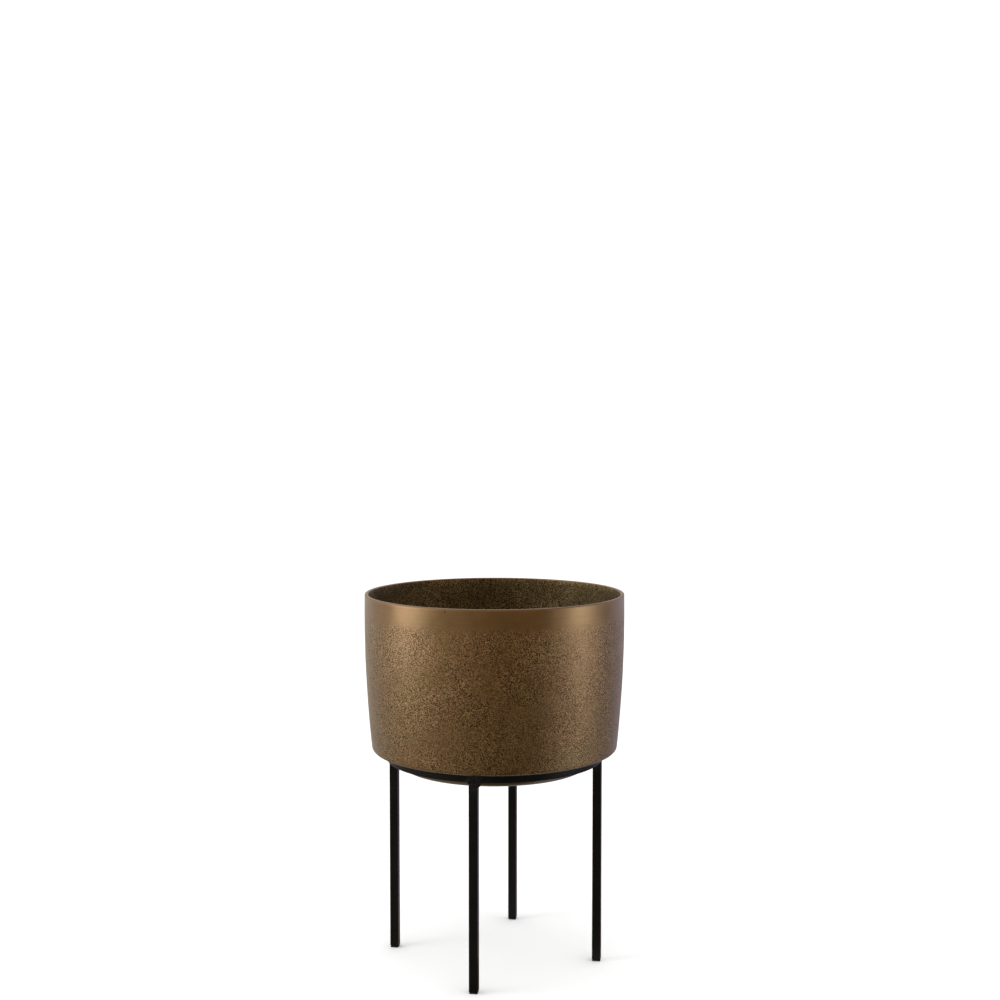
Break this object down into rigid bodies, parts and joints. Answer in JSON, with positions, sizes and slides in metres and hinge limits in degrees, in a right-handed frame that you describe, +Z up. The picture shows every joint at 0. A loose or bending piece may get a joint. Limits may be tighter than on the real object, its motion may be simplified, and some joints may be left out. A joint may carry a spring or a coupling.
{
  "type": "brass planter pot",
  "caption": "Round, slightly tapered antique-brass planter pot with a stepped base, resting in a black square-bar ring stand on straight legs.",
  "frame": {"origin": "on the floor, under the middle of the pot and its ring", "axes": "+Z up along the pot's axis; -Y towards the front leg; +X towards the right leg"},
  "size_m": [0.2608, 0.2608, 0.3707],
  "materials": {
    "antique_brass": "antique brown, satin, finely pitted except for a smooth band at the lip",
    "black_powder_coat": "satin black powder coat over welded mild steel bar",
    "foot_rubber": "matte black"
  },
  "bodies": {
    "stand": {"stand_ring": "black_powder_coat", "leg_front": "black_powder_coat", "leg_right": "black_powder_coat", "leg_rear": "black_powder_coat", "leg_left": "black_powder_coat", "weld_front_right": "black_powder_coat", "weld_front_left": "black_powder_coat", "weld_right_rear": "black_powder_coat", "weld_right_front": "black_powder_coat", "weld_rear_left": "black_powder_coat", "weld_rear_right": "black_powder_coat", "weld_left_front": "black_powder_coat", "weld_left_rear": "black_powder_coat", "foot_pad_front": "foot_rubber", "foot_pad_right": "foot_rubber", "foot_pad_rear": "foot_rubber", "foot_pad_left": "foot_rubber"},
    "pot": {"pot": "antique_brass"}
  },
  "joints": [
    {"name": "pot_lift", "type": "slide", "parent": "stand", "child": "pot", "axis": [0, 0, 1], "range_m": [0, 0.06]}
  ]
}
